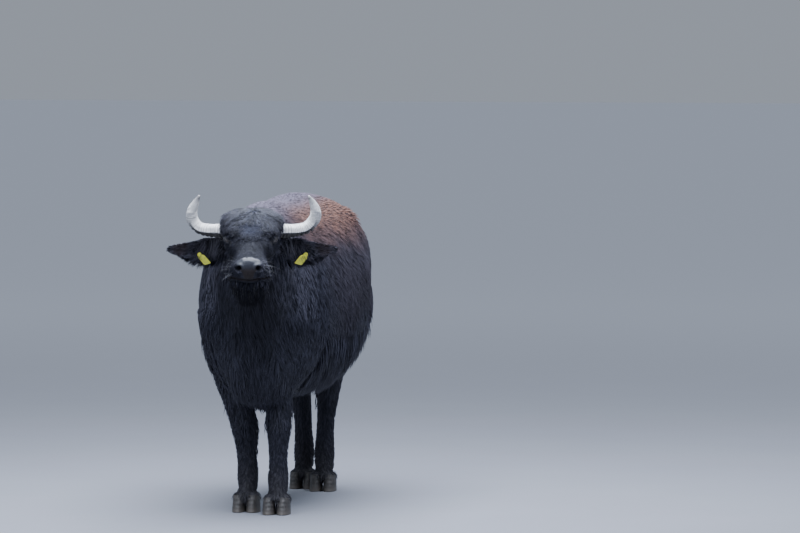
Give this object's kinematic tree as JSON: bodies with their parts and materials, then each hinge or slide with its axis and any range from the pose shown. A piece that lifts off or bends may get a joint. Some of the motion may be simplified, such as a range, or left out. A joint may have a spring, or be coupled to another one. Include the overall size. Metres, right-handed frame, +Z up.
{
  "type": "water buffalo",
  "caption": "Life-size standing domestic water buffalo facing forward, with swept-up ridged horns, wide drooping ears, plain ear tags and a shaggy coat.",
  "frame": {"origin": "centre of the bounding box's footprint, at the floor the hooves stand on", "axes": "-Y the way the animal faces, +X its left side, +Z up"},
  "size_m": [0.8098, 2.3974, 1.4898],
  "materials": {
    "brown_coat": "sun-bleached red-brown long hair over dark skin",
    "black_coat": "blue-black coarse hair, matte with a soft sheen",
    "horn": "pale grey ridged keratin with a dark lower face and tip",
    "hoof": "dark worn keratin",
    "eye": "wet dark brown",
    "tag_plastic": "smooth yellow plastic"
  },
  "bodies": {
    "root": {"torso": "brown_coat", "head": "black_coat", "neck": "black_coat", "ear_left": "black_coat", "ear_right": "black_coat", "tail_base": "black_coat", "tail_end": "black_coat", "tail_switch": "black_coat", "horn_left": "horn", "eye_left": "eye", "tag_left": "tag_plastic", "horn_right": "horn", "eye_right": "eye", "tag_right": "tag_plastic", "front_left_leg_upper": "black_coat", "front_left_leg_lower": "black_coat", "front_left_hoof_outer": "hoof", "front_left_dewclaw_outer": "hoof", "front_left_hoof_inner": "hoof", "front_left_dewclaw_inner": "hoof", "front_right_leg_upper": "black_coat", "front_right_leg_lower": "black_coat", "front_right_hoof_outer": "hoof", "front_right_dewclaw_outer": "hoof", "front_right_hoof_inner": "hoof", "front_right_dewclaw_inner": "hoof", "hind_left_leg_upper": "black_coat", "hind_left_leg_lower": "black_coat", "hind_left_hoof_outer": "hoof", "hind_left_dewclaw_outer": "hoof", "hind_left_hoof_inner": "hoof", "hind_left_dewclaw_inner": "hoof", "hind_right_leg_upper": "black_coat", "hind_right_leg_lower": "black_coat", "hind_right_hoof_outer": "hoof", "hind_right_dewclaw_outer": "hoof", "hind_right_hoof_inner": "hoof", "hind_right_dewclaw_inner": "hoof"}
  },
  "joints": []
}
